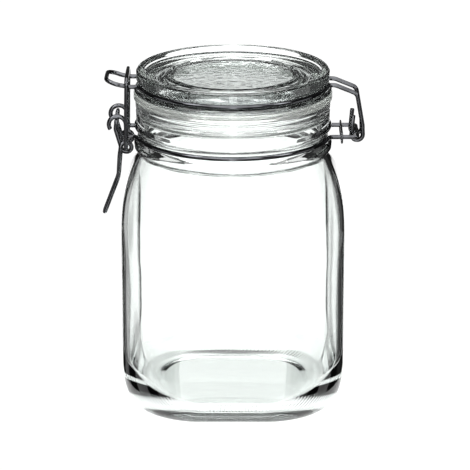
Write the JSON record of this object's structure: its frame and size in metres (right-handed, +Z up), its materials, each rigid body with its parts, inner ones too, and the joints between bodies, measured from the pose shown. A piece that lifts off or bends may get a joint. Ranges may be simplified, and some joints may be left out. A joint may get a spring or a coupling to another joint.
{
  "type": "airtight glass jar",
  "caption": "Square clear glass preserving jar with a hinged round glass lid, a rubber ring and a wire lever clasp, shut and empty.",
  "frame": {"origin": "centre of the base, on the surface that the jar stands on", "axes": "+Z up, the latch faces -X and the hinge faces +X, and +Y points to the back face"},
  "size_m": [0.1311, 0.1106, 0.17],
  "materials": {
    "glass": "clear, smooth, with a faint green tint in its thick edges",
    "seal": "pale translucent rubber",
    "wire": "bright drawn steel wire"
  },
  "bodies": {
    "jar": {"jar": "glass", "neck_wire": "wire", "clip_ring": "wire"},
    "lid": {"lid": "glass", "gasket": "seal", "lid_wire": "wire"},
    "lever": {"lever": "wire"},
    "bail": {"bail": "wire"}
  },
  "joints": [
    {"name": "lid_hinge", "type": "hinge", "parent": "jar", "child": "lid", "pos_m": [0.0616, 0, 0.1375], "axis": [0, 1, 0], "range_deg": [0, 200]},
    {"name": "lever_pivot", "type": "hinge", "parent": "jar", "child": "lever", "pos_m": [-0.0577, 0, 0.1452], "axis": [0, 1, 0], "range_deg": [0, 150]},
    {"name": "bail_pivot", "type": "hinge", "parent": "lever", "child": "bail", "pos_m": [-0.053, 0, 0.1319], "axis": [0, 1, 0], "range_deg": [-115, 0]}
  ],
  "couplings": [
    {"joint": "bail_pivot", "follows": "lever_pivot", "ratio": -0.75}
  ]
}
